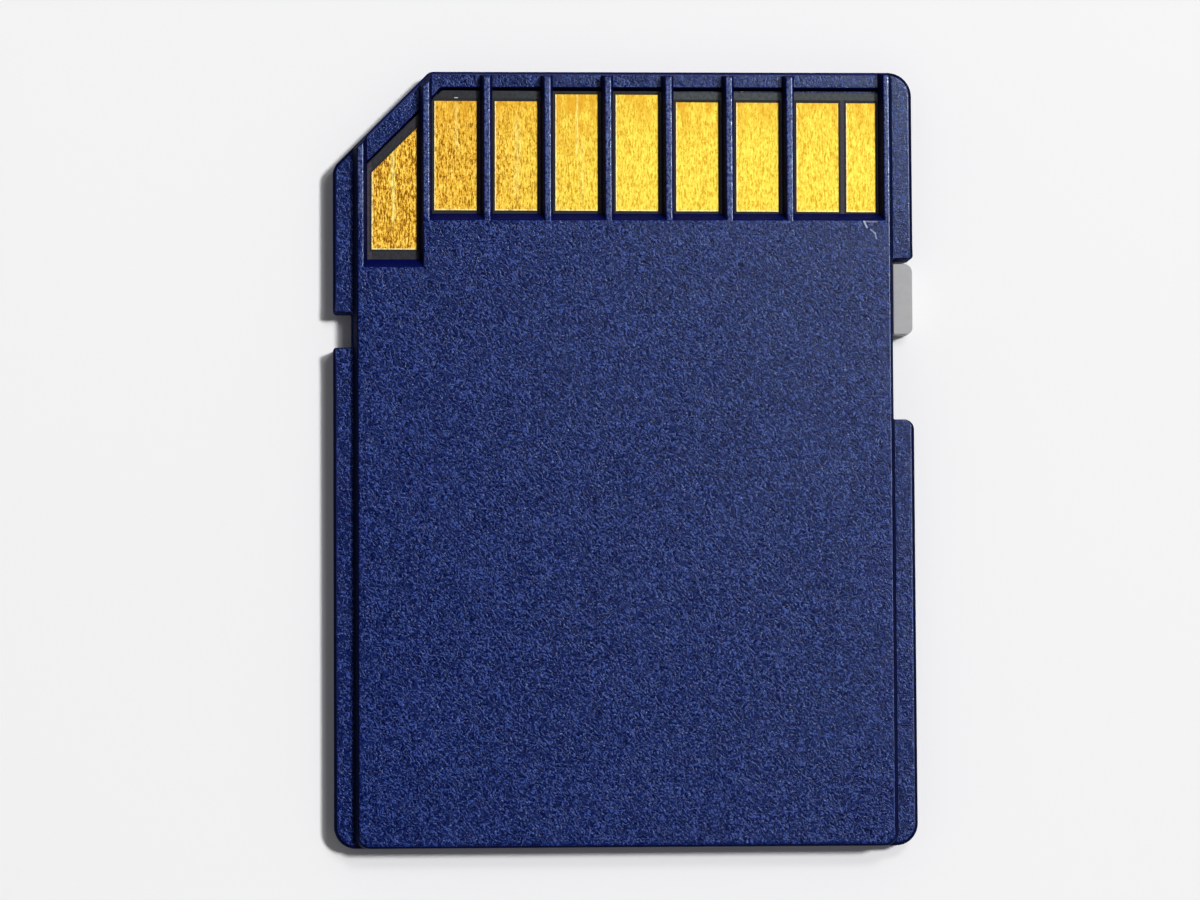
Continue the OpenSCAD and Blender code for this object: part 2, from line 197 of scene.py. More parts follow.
# ---------------------------------------------------------------- outlines
def footprint():
    """The card's outline with both notches. Profile: radius of the top edge, radius of the bottom edge."""
    rail, small, none = (RAIL_R, 0.15), (0.045, 0.04), (0.004, 0.04)
    half, mouth = (0.145, 0.12), (0.10, 0.09)   # rounding tapers towards the mouths of the small notch corners
    p = Path()
    p.arc(-11.1, -15.1, 0.9, 180, 270, 14, rail, rail)
    p.to(-10.70, -16, 0.09, 0.15).to(-10.45, -16, 0.0, 0.15)
    p.to(10.45, -16, 0.09, 0.15).to(10.70, -16, *rail)
    p.arc(11.1, -15.1, 0.9, 270, 360, 14, rail, rail)
    p.arc(12 - 0.42, GUARD_Y0 - 0.42, 0.42, 0, 90, 10, rail, small)
    p.arc(GUARD_X + 0.1, GUARD_Y0 + 0.1, 0.1, 270, 180, 4, small, none)
    p.arc(GUARD_X + 0.18, GUARD_Y1 - 0.18, 0.18, 180, 90, 5, none, small)
    p.arc(11.86, GUARD_Y1 + 0.14, 0.14, 270, 360, 6, small, mouth)
    p.to(12, GUARD_Y1 + 0.38, *half).to(12, GUARD_Y1 + 0.62, *rail)
    p.arc(11, 15, 1.0, 0, 90, 16, rail, rail)
    p.arc(-8 + 0.1657, 15.6, 0.4, 90, 135, 5, rail, rail)
    p.arc(-11.3, 11.71, 0.7, 135, 180, 7, rail, rail)
    p.to(-12, 6.62, *half).to(-12, 6.38, *mouth)
    p.arc(-11.86, 6.14, 0.14, 180, 270, 6, mouth, small)
    p.arc(-11.31, 5.94, 0.06, 90, 0, 3, small, small)
    p.arc(-11.31, 4.61, 0.06, 0, -90, 3, small, small)
    p.arc(-11.86, 4.41, 0.14, 90, 180, 6, small, mouth)
    p.to(-12, 4.17, *half).to(-12, 3.93, *rail)
    return p


def keyed_area(half, rear, front, key_in, r):
    """Outline at a distance inside the front end and the keying cut."""
    c = 24 - key_in * math.sqrt(2)
    t = r * math.tan(math.radians(22.5))
    p = Path()
    z = (0.0,)
    p.arc(-half + r, rear + r, r, 180, 270, 4, z, z).arc(half - r, rear + r, r, 270, 360, 4, z, z)
    p.arc(half - r, front - r, r, 0, 90, 4, z, z)
    p.arc(front - c + t, front - r, r, 90, 135, 3, z, z)
    p.arc(-half + r, c - half - t, r, 135, 180, 3, z, z)
    return p


def top_outline():
    """The raised face with its ribs as fingers. Profile: lean of the wall over its height, radius of its top edge."""
    side, back, win, key_win = (BODY_LEAN, 0.075), (0.0, 0.2), (0.16, 0.06), (0.14, 0.06)
    rear, key_rear, end = (0.33, 0.06), (0.37, 0.06), (0.12, 0.09)
    flank = (RIB_LEAN, 0.065)
    x1, y0 = BODY_X, -15.994
    p = Path()
    p.arc(-x1 + 0.5, y0 + 0.5, 0.5, 180, 270, 10, side, back)
    p.arc(x1 - 0.5, y0 + 0.5, 0.5, 270, 360, 10, back, side)
    # Front end of the right-hand wall
    p.arc(x1 - 0.1, 15.82 - 0.1, 0.1, 0, 90, 4, side, (0.10, 0.08))
    p.to(LAST_X, 15.82, *win)
    p.to(LAST_X, REAR_Y, *rear)
    for i in range(6, 0, -1):
        a, b = RIB_X + i * PITCH + RIB_TOP / 2, RIB_X + i * PITCH - RIB_TOP / 2
        p.to(a, REAR_Y, *flank).to(a, 15.72, *end).to(b, 15.72, *flank).to(b, REAR_Y, *rear)
    a, b = RIB_X + RIB_TOP / 2, RIB_X - RIB_TOP / 2
    c = 24 - 0.3 * math.sqrt(2)
    p.to(a, REAR_Y, *flank).to(a, a + c - 0.03, 0.2, 0.08)
    p.to(b, b + c, *flank).to(b, KEY_REAR_Y, *key_rear)
    c = 24 - 0.17 * math.sqrt(2)
    p.to(KEY_X, KEY_REAR_Y, *key_win).to(KEY_X, KEY_X + c, 0.11, 0.08)
    p.to(-x1, -x1 + c, *side)
    return p


# ---------------------------------------------------------------- contact-side cover
def slab_inset(e, z):
    return round_in(e[0], z, RAIL_T) + max(0.0, 0.73 - z)


def label_inset(e, z):
    r = e[1]
    low = r - math.sqrt(max(0.0, r * r - (r - z) ** 2)) if z < r else 0.0
    return low + max(0.0, z - 0.67)


def top_inset(e, z):
    lean, r = e
    t = min(1.0, (CARD_T - z) / (CARD_T - LIP_Z))
    return -lean * t + round_in(r, z, CARD_T)


def contact_side():
    cover = ring_solid("slab", footprint(),
                       [0.70, 0.73, 1.22, 1.2756, 1.3258, 1.352, 1.3656, 1.38, 1.3912, 1.397, 1.4], slab_inset)
    # Lip and window floors, a little below the rails
    boolean(cover, box("lip", -10.9, 10.9, 7.0, 17.0, LIP_Z, 1.8), "DIFFERENCE")
    # Step and groove along the keyed lip
    def band(name, d0, d1, z0):
        pts = []
        for x, d in ((-10.9, d1), (-7.7, d1), (-7.7, d0), (-10.9, d0)):
            pts.append((x, x + 24 - d * math.sqrt(2)))
        return prism(name, pts, z0, 1.8)
    boolean(cover, band("step", 0.63, 1.2, 1.352), "DIFFERENCE")
    boolean(cover, band("groove", 0.60, 0.665, 1.315), "DIFFERENCE")
    top = ring_solid("top", top_outline(),
                     [1.30, 1.3699, 1.84, 1.907, 1.970, 2.010, 2.035, 2.052, 2.067, 2.080, 2.090, 2.097, 2.1], top_inset)
    boolean(top, box("guard", GUARD_X - 0.002, 12.5, GUARD_Y0 - 0.002, GUARD_Y1 + 0.002, 1.0, 2.4), "DIFFERENCE")
    boolean(cover, top, "UNION")
    pocket = ring_solid("pocket", keyed_area(10.85, -11.32, 15.33, 0.81, 0.25), [0.2, 1.32, 1.338, 1.352, 1.362, 1.369, 1.38],
                        lambda e, z: -round_in(0.05, min(z, 1.3695), 1.37))
    boolean(cover, pocket, "DIFFERENCE")
    boolean(cover, prism("cavity", keyed_rect(10.3, -15, 7, 0.4), 0.2, CARD_T - 0.35), "DIFFERENCE")
    boolean(cover, box("neck", 10.80, 11.2, 2.065, 7.665, 0.45, 0.97), "DIFFERENCE")
    return to_metres(cover, "contact_side_shell")


def keyed_rect(half, y0, y1, r):
    return (arc(-half + r, y0 + r, r, 180, 270, 4) + arc(half - r, y0 + r, r, 270, 360, 4)
            + arc(half - r, y1 - r, r, 0, 90, 4) + arc(-half + r, y1 - r, r, 90, 180, 4))


def label_side():
    cover = ring_solid("slab", footprint(), [0.0, 0.012, 0.044, 0.09, 0.15, 0.67, 0.70], label_inset)
    boolean(cover, ring_solid("room", keyed_area(10.85, -15, 15.33, 0.81, 0.25), [0.35, 1.2], lambda e, z: 0.0), "DIFFERENCE")
    ledge = ring_solid("ledge", keyed_area(10.75, -11.22, 15.23, 0.91, 0.2), [0.25, 1.055], lambda e, z: 0.0)
    boolean(ledge, ring_solid("in", keyed_area(10.25, -10.72, 14.73, 1.41, 0.2), [0.1, 1.2], lambda e, z: 0.0), "DIFFERENCE")
    boolean(ledge, box("way", 10.05, 12.05, 1.10, 8.68, 0.1, 1.2), "DIFFERENCE")
    detour = prism("detour", [(9.65, 0.66), (10.74, 0.66), (10.74, 1.16), (10.15, 1.16), (10.15, 8.62), (10.74, 8.62),
                              (10.74, 9.12), (9.65, 9.12)], 0.251, 1.054)
    boolean(ledge, detour, "UNION")
    boolean(cover, ledge, "UNION")
    k = 3.2
    label = [(-10.3, -12.6), (10.3, -12.6), (10.3, 13.4), (-10.3 + k, 13.4), (-10.3, 13.4 - k)]
    recess = prism("recess", rounded(label, 0.6), -0.5, 0.1)
    boolean(cover, recess, "DIFFERENCE")
    boolean(cover, box("neck", 10.80, 11.2, 2.065, 7.665, 0.45, 0.97), "DIFFERENCE")
    return to_metres(cover, "label_side_shell")


def rounded(pts, r, n=5):
    """Convex outline with an arc at every corner."""
    radii = r if isinstance(r, (list, tuple)) else [r] * len(pts)
    out = []
    for i, p in enumerate(pts):
        p, a, b, rr = Vector(p), Vector(pts[i - 1]), Vector(pts[(i + 1) % len(pts)]), radii[i]
        u, v = (a - p).normalized(), (b - p).normalized()
        half = math.acos(max(-1, min(1, u.dot(v)))) / 2
        c = p + (u + v).normalized() * rr / math.sin(half)
        s, e = p + u * rr / math.tan(half), p + v * rr / math.tan(half)
        a0 = math.atan2(s.y - c.y, s.x - c.x)
        a1 = math.atan2(e.y - c.y, e.x - c.x)
        if a1 < a0:
            a1 += 2 * math.pi
        out += [(c.x + rr * math.cos(a0 + (a1 - a0) * t / n), c.y + rr * math.sin(a0 + (a1 - a0) * t / n)) for t in range(n + 1)]
    return out


def slider():
    y0, y1 = GUARD_Y1 - 0.19 - 2.93, GUARD_Y1 - 0.19
    outline = Path()
    for x, y in rounded([(11.18, y0), (11.98, y0), (11.98, y1), (11.18, y1)], [0.045, 0.28, 0.34, 0.045], 6):
        outline.to(x, y, 0.04)
    tab = ring_solid("tab", outline, [0.22, 0.227, 0.26, 1.20, 1.22, 1.234, 1.24],
                     lambda e, z: round_in(0.04, z, 1.24) + round_in(0.04, 0.26 + 0.04 - (z - 0.22) - 0.04, 0.26))
    boolean(tab, box("neck", 10.57, 11.48, 5.565, 7.565, 0.52, 0.90), "UNION")
    boolean(tab, box("foot", 10.28, 10.77, y0 + 0.1, y1 - 0.1, 0.42, 0.975), "UNION")
    return to_metres(tab, "write_protect_tab")


def solder_mask():
    """Thin mask over the front of the board, open round every contact."""
    p = keyed_area(10.70, 6.9, 15.16, 0.96, 0.2)
    mask = ring_solid("mask", p, [BOARD_TOP - 0.004, BOARD_TOP + 0.009, BOARD_TOP + 0.012], lambda e, z: 0.004 if z > BOARD_TOP + 0.01 else 0.0)
    m = 0.085
    for i, (x, w, a, b) in enumerate(PADS):
        front = b + 0.12 if i not in (2, 3) else b + 0.3
        boolean(mask, box("open", x - w / 2 - m, x + w / 2 + m, a - 0.3, front, 1.2, 1.6), "DIFFERENCE")
    x, w, a = KEY_PAD
    c = 24 - 1.31 * math.sqrt(2) + m * 1.6
    x0, x1 = x - w / 2 - m, x + w / 2 + m
    boolean(mask, prism("open9", [(x0, a - m), (x1, a - m), (x1, x1 + c), (x0, x0 + c)], 1.2, 1.6), "DIFFERENCE")
    return to_metres(mask, "solder_mask", BOARD_TURN)


# ---------------------------------------------------------------- materials
def material(name):
    m = bpy.data.materials.new(name)
    m.use_nodes = True
    t = m.node_tree
    t.nodes.clear()
    out = t.nodes.new("ShaderNodeOutputMaterial")
    b = t.nodes.new("ShaderNodeBsdfPrincipled")
    t.links.new(b.outputs[0], out.inputs[0])
    return m, t, b


class N:
    """Short forms for the node trees."""

    def __init__(self, tree):
        self.t = tree

    def new(self, kind, **values):
        n = self.t.nodes.new(kind)
        for k, v in values.items():
            setattr(n, k, v)
        return n

    def link(self, value, socket):
        if isinstance(value, (int, float)):
            socket.default_value = value
        elif isinstance(value, tuple):
            socket.default_value = value if len(value) != 3 or len(socket.default_value) == 3 else (*value, 1)
        else:
            self.t.links.new(value, socket)

    def mm(self, scale=(1, 1, 1), turn=0.0, at=(0, 0, 0)):
        """Object coordinates in millimetres."""
        c = self.new("ShaderNodeTexCoord")
        m = self.new("ShaderNodeMapping")
        m.inputs["Scale"].default_value = [1000 * s for s in scale]
        m.inputs["Rotation"].default_value = (0, 0, math.radians(turn))
        m.inputs["Location"].default_value = at
        self.t.links.new(c.outputs["Object"], m.inputs["Vector"])
        return m.outputs[0]

    def xyz(self, vector):
        s = self.new("ShaderNodeSeparateXYZ")
        self.t.links.new(vector, s.inputs[0])
        return s.outputs[0], s.outputs[1], s.outputs[2]

    def noise(self, vector, scale, detail=2.0, rough=0.5, distortion=0.0):
        n = self.new("ShaderNodeTexNoise")
        self.t.links.new(vector, n.inputs["Vector"])
        n.inputs["Scale"].default_value = scale
        n.inputs["Detail"].default_value = detail
        n.inputs["Roughness"].default_value = rough
        n.inputs["Distortion"].default_value = distortion
        return n.outputs[0]

    def math(self, op, a, b=0.0, clamp=False):
        n = self.new("ShaderNodeMath", operation=op, use_clamp=clamp)
        self.link(a, n.inputs[0])
        self.link(b, n.inputs[1])
        return n.outputs[0]

    def ramp(self, value, lo, hi, to0=0.0, to1=1.0, smooth=True):
        n = self.new("ShaderNodeMapRange", interpolation_type="SMOOTHSTEP" if smooth else "LINEAR")
        self.link(value, n.inputs["Value"])
        for k, v in (("From Min", lo), ("From Max", hi), ("To Min", to0), ("To Max", to1)):
            self.link(v, n.inputs[k])
        return n.outputs[0]

    def mix(self, factor, a, b, blend="MIX"):
        n = self.new("ShaderNodeMix", data_type="RGBA", blend_type=blend)
        self.link(factor, n.inputs["Factor"])
        self.link(a, n.inputs[6])
        self.link(b, n.inputs[7])
        return n.outputs[2]

    def bump(self, height, strength, distance, normal=None):
        n = self.new("ShaderNodeBump")
        n.inputs["Strength"].default_value = strength
        n.inputs["Distance"].default_value = distance
        self.link(height, n.inputs["Height"])
        if normal is not None:
            self.t.links.new(normal, n.inputs["Normal"])
        return n.outputs[0]

    def window(self, value, lo, hi, soft):
        """1 between lo and hi, fading over soft on both sides."""
        return self.math("MULTIPLY", self.ramp(value, lo - soft, lo + soft), self.ramp(value, hi - soft, hi + soft, 1.0, 0.0))


def navy():
    """Moulded navy plastic: short wavy strokes of grain, mostly from upper left to lower right, pale speckle painted in
    as glints, a painted highlight on the ribs and a painted shade rim inside the outline.
    """
    m, t, b = material("navy_moulded")
    n = N(t)
    v = n.mm()
    warp = n.new("ShaderNodeTexNoise")
    t.links.new(v, warp.inputs["Vector"])
    warp.inputs["Scale"].default_value, warp.inputs["Detail"].default_value = 1.9, 2.0
    shifted = n.new("ShaderNodeVectorMath", operation="MULTIPLY_ADD")
    t.links.new(warp.outputs["Color"], shifted.inputs[0])
    shifted.inputs[1].default_value = (0.50, 0.50, 0.0)
    t.links.new(v, shifted.inputs[2])
    turned = n.new("ShaderNodeVectorRotate", rotation_type="Z_AXIS")
    t.links.new(shifted.outputs[0], turned.inputs["Vector"])
    turned.inputs["Angle"].default_value = math.radians(48)
    long = n.new("ShaderNodeVectorMath", operation="MULTIPLY")
    t.links.new(turned.outputs[0], long.inputs[0])
    long.inputs[1].default_value = (0.42, 1.0, 1.0)
    # Thin strokes along the mid level of one noise, broken up by another, over small pits
    grain = n.noise(long.outputs[0], 7.6, 1.0, 0.5, 0.0)
    line = n.ramp(n.math("ABSOLUTE", n.math("SUBTRACT", grain, 0.5)), 0.008, 0.060, 1.0, 0.0)
    stroke = n.math("MULTIPLY", line, n.ramp(n.noise(v, 11.0, 1.0, 0.5), 0.40, 0.56, 0.05, 1.0))
    pit = n.ramp(n.noise(v, 15.0, 1.0, 0.5, 0.2), 0.40, 0.54)
    height = n.math("ADD", n.math("MULTIPLY", stroke, 0.62), n.math("MULTIPLY", pit, 0.38))
    cloud = n.noise(v, 0.28, 2.0, 0.5)
    base = n.mix(n.ramp(cloud, 0.3, 0.7), (0.0016, 0.0080, 0.074), (0.0022, 0.0100, 0.086))
    low = n.mix(pit, (0.0002, 0.0014, 0.028), base)
    colour = n.mix(stroke, low, (0.0110, 0.0360, 0.234))
    # Painted glints: pale speckle in the base colour
    glint_speck = n.noise(v, 13.0, 1.0, 0.5)
    colour = n.mix(n.ramp(glint_speck, 0.685, 0.755, 0.0, 0.50), colour, (0.20, 0.26, 0.47))
    x, y, z = n.xyz(v)
    # Painted highlight: paler speckle on the rib tops. Painted shade: a dark rim inside the outline, on its rounded
    # edges.
    rib_highlight = n.math("MULTIPLY", n.math("MULTIPLY", n.ramp(y, 9.85, 10.2), n.ramp(z, 1.9, 2.0)), n.ramp(n.noise(v, 9.0, 1.0), 0.42, 0.62, 0.08, 0.55))
    colour = n.mix(rib_highlight, colour, (0.10, 0.13, 0.28))
    keyed = n.math("MULTIPLY", n.math("SUBTRACT", n.math("ADD", x, 24.0), y), 0.7071)
    edge = n.math("MINIMUM", n.math("MINIMUM", n.math("SUBTRACT", 16.0, y), keyed), n.math("SUBTRACT", 12.0, n.math("ABSOLUTE", x)))
    # Painted shade: darker navy near the outline, on the rounded top edges
    shaded_rim = n.math("MULTIPLY", n.ramp(edge, 0.10, 0.18, 1.0, 0.0), n.ramp(z, 1.2, 1.3))
    colour = n.mix(n.math("MULTIPLY", shaded_rim, 0.8), colour, (0.0010, 0.0034, 0.050))
    # Pale hairline marks behind the last window: the first three are a hair lying on the face, the last runs along the
    # window's rear edge and is a painted highlight.
    hair_and_highlight_marks = [(9.896, 9.705, 10.015, 9.455, 0.65), (10.17, 9.37, 10.355, 9.214, 0.35), (10.355, 9.214, 10.409, 9.00, 0.3), (9.92, 9.70, 10.45, 9.69, 0.25)]
    for x0, y0, x1, y1, k in hair_and_highlight_marks:
        ux, uy = x1 - x0, y1 - y0
        px, py = n.math("SUBTRACT", x, x0), n.math("SUBTRACT", y, y0)
        along = n.math("MULTIPLY", n.math("ADD", n.math("MULTIPLY", px, ux), n.math("MULTIPLY", py, uy)), 1 / (ux * ux + uy * uy), clamp=True)
        dx, dy = n.math("SUBTRACT", px, n.math("MULTIPLY", along, ux)), n.math("SUBTRACT", py, n.math("MULTIPLY", along, uy))
        far = n.math("SQRT", n.math("ADD", n.math("MULTIPLY", dx, dx), n.math("MULTIPLY", dy, dy)))
        hair_and_highlight = n.math("MULTIPLY", n.ramp(far, 0.015, 0.05, k, 0.0), n.ramp(z, 2.04, 2.08))
        colour = n.mix(hair_and_highlight, colour, (0.50, 0.56, 0.74))
    n.link(colour, b.inputs["Base Color"])
    n.link(n.math("MAXIMUM", n.ramp(height, 0.20, 0.75, 0.16, 0.40), n.math("MULTIPLY", shaded_rim, 0.75)), b.inputs["Roughness"])
    b.inputs["Specular IOR Level"].default_value = 0.26
    b.inputs["Specular Tint"].default_value = (0.70, 0.82, 1.0, 1.0)
    n.link(n.bump(height, 1.0, 0.0000044), b.inputs["Normal"])
    return m


def navy_wall():
    """The same plastic where the mould is plain, with painted shade: deep painted shade inside the windows, dark
    painted shade on the rims and on the left flank of the raised face, plain navy outer sides.
    """
    m, t, b = material("navy_wall")
    n = N(t)
    v = n.mm()
    x, y, z = n.xyz(v)
    wide = n.math("ABSOLUTE", x)
    nz = n.math("ABSOLUTE", n.xyz(n.new("ShaderNodeTexCoord").outputs["Normal"])[2])
    f = n.ramp(n.noise(v, 7.0, 2.0, 0.6), 0.35, 0.65)
    slope = n.mix(f, (0.0005, 0.0026, 0.062), (0.0009, 0.0040, 0.080))
    shade = n.mix(f, (0.0005, 0.0014, 0.022), (0.0008, 0.0022, 0.032))
    windows = n.mix(n.ramp(nz, 0.25, 0.38, 1.0, 0.0), slope, shade)
    side = n.mix(f, (0.0018, 0.0082, 0.074), (0.0026, 0.0112, 0.092))
    # Painted shade: the dark colour of the rims and of the left flank of the raised face
    dark = n.mix(f, (0.0004, 0.0011, 0.016), (0.0006, 0.0017, 0.023))
    shaded_rim = n.math("MULTIPLY", n.ramp(nz, 0.12, 0.30), n.ramp(z, 1.10, 1.20))
    # Painted shade: only the left flank, which faces away from the key light, is dark; the right flank keeps the plain
    # side colour
    flank = n.math("MULTIPLY", n.ramp(z, 1.38, 1.42), n.ramp(x, -10.93, -10.88, 1.0, 0.0))
    shaded_outer_walls = n.mix(n.math("MAXIMUM", shaded_rim, flank), side, dark)
    inner = n.math("MULTIPLY", n.math("MULTIPLY", n.ramp(y, 7.70, 7.76), n.ramp(wide, 10.84, 10.90, 1.0, 0.0)), n.ramp(z, 1.29, 1.31))
    n.link(n.mix(inner, shaded_outer_walls, windows), b.inputs["Base Color"])
    n.link(n.ramp(f, 0.0, 1.0, 0.68, 0.85), b.inputs["Roughness"])
    b.inputs["Specular IOR Level"].default_value = 0.05
    b.inputs["Specular Tint"].default_value = (0.70, 0.82, 1.0, 1.0)
    n.link(n.bump(f, 0.5, 0.000006), b.inputs["Normal"])
    return m


def gold(name, pad):
    """Plated contact: lengthwise brushing, mottling, and streaks where springs have rubbed."""
    m, t, b = material(name)
    n = N(t)
    v = n.mm()
    x, y, z = n.xyz(v)
    brush = n.noise(n.mm(scale=(1.0, 0.16, 1.0)), 17.0, 3.0, 0.65, 0.3)
    fleck = n.noise(n.mm(scale=(1.0, 0.50, 1.0), turn=14), 14.0, 2.5, 0.65, 0.6)
    mottle = n.noise(v, 1.4, 2.0, 0.5)
    # Plating darker and more orange towards the left, yellower towards the right, broken up by mottling; the change
    # from left to right is partly painted shade
    yellow = n.ramp(n.math("ADD", x, n.math("MULTIPLY", n.math("SUBTRACT", mottle, 0.5), 6.0)), -8.5, 1.5)
    dark = n.mix(yellow, (0.22, 0.085, 0.002), (0.64, 0.37, 0.022))
    middle = n.mix(yellow, (0.68, 0.37, 0.026), (0.79, 0.60, 0.062))
    light = n.mix(yellow, (0.88, 0.60, 0.100), (0.84, 0.69, 0.095))
    depth = n.math("ADD", n.math("MULTIPLY", brush, 0.5), n.math("MULTIPLY", fleck, 0.5))
    colour = n.mix(n.ramp(depth, 0.525, 0.585), n.mix(n.ramp(n.math("ADD", depth, 0.022 if pad != 9 else 0.0), 0.44, 0.52), dark, middle), light)
    # Slightly tarnished front end
    reach, most = {3: (11.4, 0.9), 5: (12.4, 0.85), 7: (12.2, 0.6)}.get(pad, (12.8, 0.7))
    stain = n.math("MULTIPLY", n.ramp(y, reach, 14.9), n.ramp(n.noise(n.mm(scale=(1.0, 0.3, 1.0)), 3.0, 3.0, 0.6), 0.38, 0.62, 0.15, most))
    colour = n.mix(stain, colour, (0.64, 0.33, 0.018))
    streaks = {9: [(-9.52, 0.13, 9.7, 13.3, 0.85)], 3: [(-1.92, 0.07, 12.4, 15.2, 0.8), (-1.70, 0.12, 10.6, 13.2, 0.35)],
               2: [(-4.40, 0.22, 10.8, 14.0, 0.4)], 1: [(-6.9, 0.14, 12.6, 14.8, 0.4)]}.get(pad, [])
    for sx, w, y0, y1, k in streaks:
        wave = n.math("ADD", x, n.math("MULTIPLY", n.math("SUBTRACT", n.noise(n.mm(scale=(1, 1, 1)), 0.9, 1.0), 0.5), 0.22))
        mask = n.math("MULTIPLY", n.window(wave, sx - w / 2, sx + w / 2, w * 0.5), n.window(y, y0, y1, 0.35))
        mask = n.math("MULTIPLY", mask, n.ramp(brush, 0.35, 0.6, 0.35 * k, k))
        colour = n.mix(mask, colour, (0.88, 0.76, 0.22))
    # Painted highlight: a bright line along the left and rear edges, where the rounded edge of the pad catches the
    # light
    px, w, rear = (KEY_PAD[0], KEY_PAD[1], KEY_PAD[2]) if pad == 9 else PADS[pad - 1][:3]
    bx, by, bz = n.xyz(n.mm(turn=-BOARD_TURN, at=(12.5 * math.sin(math.radians(-BOARD_TURN)), 0, 0)))
    edge = n.math("MAXIMUM", n.ramp(bx, px - w / 2 + 0.03, px - w / 2 + 0.075, 1.0, 0.0), n.ramp(by, rear + 0.03, rear + 0.075, 1.0, 0.0))
    edge = n.math("MULTIPLY", edge, n.ramp(fleck, 0.35, 0.5, 0.25, 0.8))
    colour = n.mix(edge, colour, (0.90, 0.78, 0.38))
    n.link(colour, b.inputs["Base Color"])
    b.inputs["Metallic"].default_value = 0.35
    n.link(n.ramp(depth, 0.4, 0.6, 0.66, 0.56), b.inputs["Roughness"])
    b.inputs["Specular IOR Level"].default_value = 0.1
    n.link(n.bump(n.math("ADD", brush, n.math("MULTIPLY", fleck, 0.6)), 0.35, 0.000008), b.inputs["Normal"])
    return m


def plain(name, colours, rough, scale, specular=0.4, bump=0.2, metallic=0.0):
    m, t, b = material(name)
    n = N(t)
    v = n.mm()
    f = n.noise(v, scale, 3.0, 0.6)
    n.link(n.mix(n.ramp(f, 0.3, 0.7), *colours), b.inputs["Base Color"])
    n.link(n.ramp(f, 0.3, 0.7, rough - 0.06, rough + 0.06), b.inputs["Roughness"])
    b.inputs["Specular IOR Level"].default_value = specular
    b.inputs["Metallic"].default_value = metallic
    n.link(n.bump(n.noise(v, scale * 4, 2.0), bump, 0.00001), b.inputs["Normal"])
    return m


def solder_resist():
    """Dark grey-green mask with a fine mottle, with painted shade: darker towards the left, paler towards the right."""
    m, t, b = material("mask_grey")
    n = N(t)
    v = n.mm()
    f = n.noise(v, 6.5, 3.0, 0.6)
    # Painted shade and light: the front strip darkens towards the left and pales towards the right
    side = n.ramp(n.xyz(v)[0], -9.0, 4.0)
    shaded_mask = n.mix(n.ramp(f, 0.35, 0.65), (0.005, 0.007, 0.010), (0.017, 0.019, 0.026))
    lit_mask = n.mix(n.ramp(f, 0.35, 0.65), (0.028, 0.036, 0.038), (0.058, 0.066, 0.070))
    between = n.mix(n.ramp(f, 0.35, 0.65), (0.022, 0.017, 0.030), (0.046, 0.037, 0.056))
    keyed = n.mix(n.ramp(f, 0.35, 0.65), (0.007, 0.008, 0.012), (0.020, 0.020, 0.030))
    x, y, z = n.xyz(v)
    back = n.mix(n.window(x, -10.40, -8.2, 0.02), between, keyed)
    # White fleck in front of contact 1
    fleck = n.math("MULTIPLY", n.window(x, -6.98, -6.83, 0.02), n.window(y, 14.87, 14.92, 0.015))
    n.link(n.mix(fleck, n.mix(n.ramp(y, 14.76, 14.84), back, n.mix(side, shaded_mask, lit_mask)), (0.62, 0.62, 0.66)), b.inputs["Base Color"])
    n.link(n.ramp(f, 0.3, 0.7, 0.45, 0.58), b.inputs["Roughness"])
    b.inputs["Specular IOR Level"].default_value = 0.15
    n.link(n.bump(f, 0.4, 0.00001), b.inputs["Normal"])
    return m


def chip_ends(name, body, pitch, size, first, at_y):
    """Ceramic body with tinned ends, by position along the row."""
    m, t, b = material(name)
    n = N(t)
    v = n.mm()
    x, y, z = n.xyz(v)
    along = n.math("MODULO", n.math("ADD", n.math("SUBTRACT", x, first), 10 * pitch + pitch / 2), pitch)
    far = n.math("ABSOLUTE", n.math("SUBTRACT", along, pitch / 2))
    tin = n.ramp(far, size * 0.27, size * 0.29)
    f = n.noise(v, 9.0, 2.0)
    n.link(n.mix(tin, n.mix(f, body, tuple(min(1.0, c * 1.3) for c in body)), (0.60, 0.60, 0.58)), b.inputs["Base Color"])
    n.link(tin, b.inputs["Metallic"])
    n.link(n.ramp(f, 0.3, 0.7, 0.35, 0.5), b.inputs["Roughness"])
    return m


def assign(o, m):
    if o.data.materials:
        o.data.materials[0] = m
    else:
        o.data.materials.append(m)


def assign_navy(o, face, wall):
    """Grain on what faces up or down; elsewhere plain walls and rims, which carry painted shade."""
    o.data.materials.append(face)
    o.data.materials.append(wall)
    for f in o.data.polygons:
        raised = f.center.z > 1.5 * MM
        f.material_index = 0 if abs(f.normal.z) > (0.86 if raised else 0.955) else 1


def ease(o, width, segments=2):
    """Small rounded edges on a CAD node, as modifiers."""
    w = o.modifiers.new("weld", "WELD")
    w.merge_threshold = 2e-7
    b = o.modifiers.new("edges", "BEVEL")
    b.width, b.segments, b.limit_method, b.angle_limit = width * MM, segments, "ANGLE", math.radians(40)


# ---------------------------------------------------------------- pieces
navy_plastic, navy_plain = navy(), navy_wall()
for build, body, node, slot_name, mat in (
        (contact_side, "card", "contact_side_cover", "navy_plastic", navy_plastic),
        (label_side, "card", "label_side_cover", "navy_plastic", navy_plastic),
        (slider, "slider", "write_protect_slider", "slider_plastic",
         plain("slider_grey", ((0.335, 0.335, 0.340), (0.365, 0.365, 0.370)), 0.55, 3.0, 0.2, 0.15)),
):
    piece = build()
    if mat is navy_plastic:
        assign_navy(piece, navy_plastic, navy_plain)
    else:
        assign(piece, mat)
    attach(piece, body)
    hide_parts(node)

mask_piece = solder_mask()
assign(mask_piece, solder_resist())
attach(mask_piece, "card")

